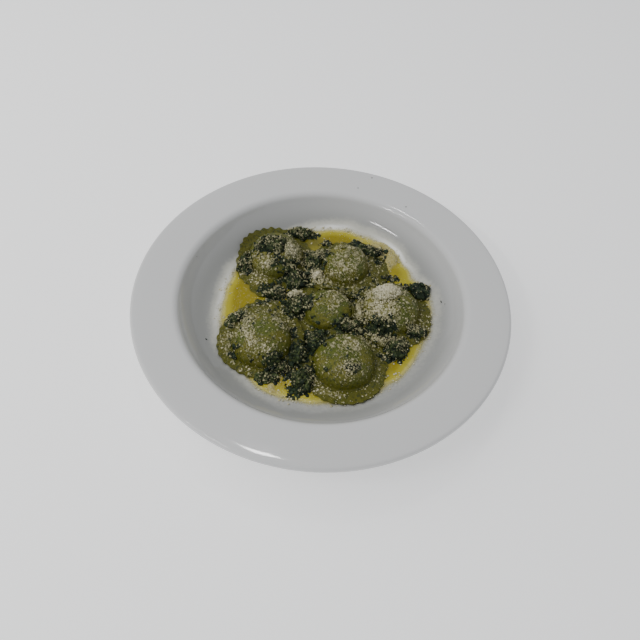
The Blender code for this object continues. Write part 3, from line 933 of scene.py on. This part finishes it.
def make_core(bed, name, shape, fullness, look, *nodes):
    """The inside of a heap, which its loose bits cover: uneven, and laid on what is below.

    shape is the heap's middle, half axes, turn and thickness. Returns where it lies on the bed.
    """
    middle, (half_length, half_width), turn, thickness = shape
    material, slot, pale, lumpiness, grain = look
    seed = sum(map(ord, name))

    def edge(angle):
        reach = np.hypot(np.cos(angle - turn) / half_length, np.sin(angle - turn) / half_width)
        return fullness * (1 + CORE_UNEVEN * uneven(angle, name, (2, 3, 5, 8))) / reach

    out, around = polar(bed.x, bed.y, middle)
    inside = out < edge(around) + 2 * BED_PITCH
    under = bed.drape(np.zeros_like(bed.x), inside, 2)
    angle = round_angles(CORE_SPOKES)
    reach = CORE_RINGS[:, None] * edge(angle)
    x, y = middle[0] + reach * np.cos(angle), middle[1] + reach * np.sin(angle)
    swell = np.sqrt(1 - CORE_RINGS**2)[:, None]
    bumps = 1 + lumpiness * layered(x, y, "heap", seed)
    base = bed.read(under, x, y)
    pitted = grain * layered(x, y, "heap grain", seed)
    top = np.dstack([x, y, base + CORE_LIFT + fullness * thickness * swell * bumps + pitted])
    back = np.dstack([x, y, base])[::-1][::3]
    centre = np.dstack([x[:1], y[:1], back[-1:, :, 2]])
    rings = np.concatenate([top, back, centre])
    mesh = mesh_of_rings(name, rings, {"pale": np.full(rings.shape[:2], pale)})
    keep(new_object(name, mesh, material), slot, *nodes)
    bed.add(finer(top, 5))
    return inside


def lens_bit(name, spokes, shares, half, seed, ragged, curl):
    """One loose bit about 1 long: a thin ragged patch, curled along its length.

    half is its width as a share of its length, and half its thickness.
    """
    angle = round_angles(spokes)
    shares = np.array(shares)
    reach = shares[:, None] * (1 + ragged * uneven(angle, f"{name} {seed}", (1, 2, 3, 5)))
    x, y = 0.5 * reach * np.cos(angle), 0.5 * half[0] * reach * np.sin(angle)
    bend = curl * (x * x - 0.08) + 0.6 * curl * (y * y - 0.03)
    thick = half[1] * np.sqrt(np.clip(1.02 - shares**2, 0, 1))[:, None]
    top, back = np.dstack([x, y, bend + thick]), np.dstack([x, y, bend - thick])
    return mesh_of_rings(name, np.concatenate([top, back[:1]]))


def leaf_bit(name, seed, width, curl):
    return lens_bit(name, 7, (0, 0.6, 1), (width, 0.05), seed, 0.45, curl)


def crumb_bit(seed, width):
    return lens_bit("crumb", 4, (0, 1), (width, 0.28), seed, 0.3, 0.0)


def shred_bit(seed, width):
    return lens_bit("shred", 4, (0, 0.6, 1), (width, 0.09), seed, 0.25, 0.9)


def scattering_tree():
    """A tree that scatters loose bits over a ground, thickest where its "fall" is highest.

    Each bit keeps the ground's "pale" attribute, a little varied.
    """
    tree = bpy.data.node_groups.new("scattering", "GeometryNodeTree")
    numbers = "Density Least_size Most_size Rarity Tilt Sink Crumple Crumple_size".split()
    sockets = {"Ground": "Geometry", "Bits": "Collection", **dict.fromkeys(numbers, "Float")}
    sockets.update({"Seed": "Int", "Finish": "Material"})
    for name, kind in sockets.items():
        tree.interface.new_socket(name=name, in_out="INPUT", socket_type="NodeSocket" + kind)
    tree.interface.new_socket(name="Laid", in_out="OUTPUT", socket_type="NodeSocketGeometry")
    nodes = Nodes(tree)
    given = nodes.add("NodeGroupInput")
    of = {name: nodes.other(given, name) for name in sockets}
    number = {"data_type": "FLOAT"}
    fall, pale = (
        nodes.add("GeometryNodeInputNamedAttribute", number, {"Name": name})
        for name in ("fall", "pale")
    )
    values = {"Mesh": of["Ground"], "Density": fall * of["Density"], "Seed": of["Seed"]}
    points = nodes.add("GeometryNodeDistributePointsOnFaces", {}, values)
    rotation = nodes.other(points, "Rotation")
    swing = {2: -0.22, 3: 0.22, "Seed": of["Seed"] + 2}
    varied = pale + nodes.add("FunctionNodeRandomValue", number, swing, output=1)
    values = {"Geometry": points, "Name": "pale", "Value": varied}
    points = nodes.add("GeometryNodeStoreNamedAttribute", number, values)
    tilt = of["Tilt"]
    low = nodes.add("ShaderNodeCombineXYZ", {}, {0: 0 - tilt, 1: 0 - tilt, 2: 0.0})
    high = nodes.add("ShaderNodeCombineXYZ", {}, {0: tilt, 1: tilt, 2: 2 * math.pi})
    values = {0: low, 1: high, "Seed": of["Seed"]}
    spin = nodes.add("FunctionNodeRandomValue", {"data_type": "FLOAT_VECTOR"}, values)
    values = {"Rotation": rotation, "Rotate By": spin}
    turned = nodes.add("FunctionNodeRotateRotation", {"rotation_space": "LOCAL"}, values)
    values = {"Seed": of["Seed"] + 1}
    share = nodes.add("FunctionNodeRandomValue", number, values, output=1)
    size = of["Least_size"] + (of["Most_size"] - of["Least_size"]) * share ** of["Rarity"]
    bits = nodes.add(
        "GeometryNodeCollectionInfo",
        {"transform_space": "ORIGINAL"},
        {"Collection": of["Bits"], "Separate Children": True, "Reset Children": True},
    )
    values = {"Points": points, "Instance": bits, "Pick Instance": True}
    values.update({"Rotation": turned, "Scale": size})
    laid = nodes.add("GeometryNodeInstanceOnPoints", {}, values)
    real = nodes.add("GeometryNodeRealizeInstances", {}, {"Geometry": laid})
    where = nodes.add("GeometryNodeInputPosition")
    values = {"Vector": where, "Scale": 1 / of["Crumple_size"], "Detail": 1.0}
    cloud = nodes.add("ShaderNodeTexNoise", {}, values, output=1)
    values = {0: cloud, 1: (0.5, 0.5, 0.5)}
    swing = nodes.add("ShaderNodeVectorMath", {"operation": "SUBTRACT"}, values)
    values = {0: swing, "Scale": of["Crumple"]}
    shift = nodes.add("ShaderNodeVectorMath", {"operation": "SCALE"}, values)
    sink = nodes.add("ShaderNodeCombineXYZ", {}, {2: 0 - of["Sink"]})
    shift = nodes.add("ShaderNodeVectorMath", {"operation": "ADD"}, {0: shift, 1: sink})
    moved = nodes.add("GeometryNodeSetPosition", {}, {"Geometry": real, "Offset": shift})
    smooth = nodes.add("GeometryNodeSetShadeSmooth", {}, {"Geometry": moved})
    done = nodes.add("GeometryNodeSetMaterial", {}, {"Geometry": smooth, "Material": of["Finish"]})
    nodes.add("NodeGroupOutput", {}, {"Laid": done})
    return tree


SCATTERING = scattering_tree()


def ground_mesh(bed, fall, pale):
    """The bed's surface as a mesh, with how much falls on it and how pale.

    Little stays where it is steep.
    """
    rows = slice(None, None, GROUND_STRIDE)
    x, y, z, fall, pale = (field[rows, rows] for field in (bed.x, bed.y, bed.height, fall, pale))
    slope_x, slope_y = np.gradient(z, GROUND_STRIDE * BED_PITCH)
    level = 1 / np.sqrt(1 + slope_x**2 + slope_y**2)
    fall = fall * level * step(level, 0.25, 0.6)
    number = np.arange(x.size).reshape(x.shape)
    corners = [number[:-1, :-1], number[1:, :-1], number[1:, 1:], number[:-1, 1:]]
    quads = np.stack(corners, axis=-1).reshape(-1, 4)
    quads = quads[fall.ravel()[quads].max(axis=1) > 0]
    mesh = bpy.data.meshes.new("ground")
    mesh.from_pydata(np.dstack([x, y, z]).reshape(-1, 3).tolist(), [], quads.tolist())
    set_field(mesh, "fall", fall)
    set_field(mesh, "pale", pale)
    return mesh


def scatter(name, bed, fall, pale, bits, material, slot, **sizes):
    """Loose bits over the bed as one piece, which then counts as part of the bed."""
    shapes = bpy.data.collections.new(name)
    for mesh in bits:
        shapes.objects.link(bpy.data.objects.new(mesh.name, mesh))
    ground = new_object("ground", ground_mesh(bed, fall, pale))
    bpy.context.scene.collection.children.link(shapes)
    modifier = ground.modifiers.new("scattering", "NODES")
    modifier.node_group = SCATTERING
    values = {"Bits": shapes, "Finish": material, **sizes}
    for socket in SCATTERING.interface.items_tree:
        if socket.name in values:
            modifier[socket.identifier] = values[socket.name]
    shown = ground.evaluated_get(bpy.context.evaluated_depsgraph_get())
    mesh = bpy.data.meshes.new_from_object(shown)
    mesh.name = name
    for obj in [ground, *shapes.objects]:
        bpy.data.objects.remove(obj)
    bpy.data.collections.remove(shapes)
    keep(new_object(name, mesh), slot)
    bed.add(surface_points(mesh))


def surface_points(mesh):
    """Places spread over each of a mesh's triangles."""
    shares = [(i, j, 4 - i - j) for i in range(5) for j in range(5 - i)]
    return np.einsum("sk,tkc->stc", np.array(shares) / 4, triangle_corners(mesh))


def make_greens(bed):
    """Clumps of wilted leaves, and the looser leaves between them; returns how thick they lie."""
    torn = layered(bed.x, bed.y, "torn edge")
    heaped = np.zeros_like(bed.x)
    on_food = bed.on_food()
    clumped = np.zeros_like(bed.x)
    for node in GREENS:
        fullness, on_core, around = SMOOTH_CLUMPS.get(node, CLUMP)
        laid = make_core(bed, node + "_core", plan_ellipse(node), fullness, CLUMP_CORE, node)
        heaped = np.maximum(heaped, laid * on_core)
        spread = 1 - step(heap_share(bed, node) + torn, 0.8, 1.0 + 0.3 * on_food)
        clumped = np.maximum(clumped, spread * around)
    for spot in LOOSE_GREENS:
        away = np.hypot(*from_spot(bed.x, bed.y, *spot))
        clumped = np.maximum(clumped, LOOSE_THICKNESS * (1 - step(away + torn, 0.8, 1.4)))
    covered = 1 - np.clip(spots(BARE_PLACES, bed.x, bed.y), 0, 1)
    clumped = np.maximum(heaped, clumped * covered)
    hollow = 1 - step(bed.height - FLOOR_TOP, 6 * MM, 11 * MM)
    from_middle, _ = polar(bed.x, bed.y, HEAP_MIDDLE)
    central = 1 - step(from_middle, 45 * MM, 65 * MM)
    stray = STRAY_GREENS * (hollow * central + 0.1) * step(torn, -0.1, 0.2) * on_food
    scatter(
        "chopped_leaves",
        bed,
        np.maximum(clumped, stray) * step(within_butter(bed.x, bed.y), -1 * MM, 4 * MM),
        clumped,
        [leaf_bit("leaf", k, 0.55 + 0.1 * k, 1.2 - 0.5 * k) for k in range(5)],
        LEAF,
        "greens",
        Density=1.35e6,
        Least_size=1.3 * MM,
        Most_size=5.5 * MM,
        Rarity=1.5,
        Tilt=0.45,
        Sink=0.0,
        Crumple=1.8 * MM,
        Crumple_size=1.9 * MM,
        Seed=4,
    )
    return clumped


def make_cheese(bed, leafy):
    """The mounds, and the crumbs and shreds over everything, duller on the dark leaves."""
    on_food = bed.on_food()
    fall = cheese_fall(bed.x, bed.y) * (1 - 0.3 * leafy) * (0.12 + 0.88 * on_food)
    inward = within_butter(bed.x, bed.y)
    fall = fall + 0.06 * step(inward, -4 * MM, 1 * MM) * (1 - step(inward, 3 * MM, 8 * MM))
    on_greens = 1 + layered(bed.x, bed.y, "cheese on greens")
    fall = np.maximum(fall, 0.26 * leafy * on_greens)
    pale = (0.75 * fall + 0.5 * (1 - on_food)) * (1 - leafy) + (0.8 * fall - 0.1) * leafy
    mounds = np.zeros_like(bed.x)
    for node in CHEESE_MOUNDS:
        fullness, thickness = THIN_MOUNDS.get(node, MOUND)
        laid = make_core(bed, node + "_core", plan_ellipse(node), fullness, MOUND_CORE, node)
        mounds = np.maximum(mounds, thickness * laid)
    pale = np.maximum(pale, 0.58 * mounds)
    for number, (x, y, half_x, half_y, thickness) in enumerate(CHEESE_LUMPS):
        shape = ((x * MM, y * MM), (half_x * MM, half_y * MM), 0.3 * number, thickness * MM)
        make_core(bed, f"cheese_lump_{number}", shape, 1.0, LUMP_CORE)
    near = step(inward, -3 * MM, 2 * MM)
    crumbs = [crumb_bit(k, 0.7 + 0.15 * k) for k in range(4)]
    shreds = [shred_bit(k, 0.28 + 0.06 * k) for k in range(4)]
    clouds = step(layered(bed.x, bed.y, "cheese clouds"), -0.5, 0.6)
    thick = np.clip(fall * (0.35 + 0.65 * clouds) + 0.25 * mounds, 0, 0.9)
    scatter(
        "cheese_crumbs",
        bed,
        thick * near,
        pale,
        crumbs,
        CHEESE,
        "cheese",
        Density=3.2e6,
        Least_size=0.6 * MM,
        Most_size=2.6 * MM,
        Rarity=4.0,
        Tilt=0.6,
        Sink=-0.1 * MM,
        Crumple=0.5 * MM,
        Crumple_size=0.7 * MM,
        Seed=11,
    )
    scatter(
        "cheese_shreds",
        bed,
        np.clip(thick - 0.12, 0, 1) * near,
        pale,
        shreds,
        CHEESE,
        "cheese",
        Density=1.3e6,
        Least_size=1.4 * MM,
        Most_size=3.4 * MM,
        Rarity=1.3,
        Tilt=0.5,
        Sink=-0.1 * MM,
        Crumple=0.6 * MM,
        Crumple_size=1.2 * MM,
        Seed=12,
    )


def make_specks():
    for number, (x, y, size) in enumerate(SPECKS):
        mesh = leaf_bit(f"herb_speck_{number}", number, 0.6, 0.4)
        place = (x * MM, y * MM, float(plate_height(x * MM, y * MM)) + 0.1 * size * MM)
        mesh.transform(Matrix.LocRotScale(place, Euler((0, 0, 1.7 * number)), (size * MM,) * 3))
        keep(new_object(mesh.name, mesh, LEAF), "greens")


make_camera()
make_lights()
make_floor()
make_plate()
bed = Bed()
for node, sizes in RAVIOLI.items():
    make_raviolo(bed, node, *sizes)
make_butter(bed)
make_cheese(bed, make_greens(bed))
make_specks()
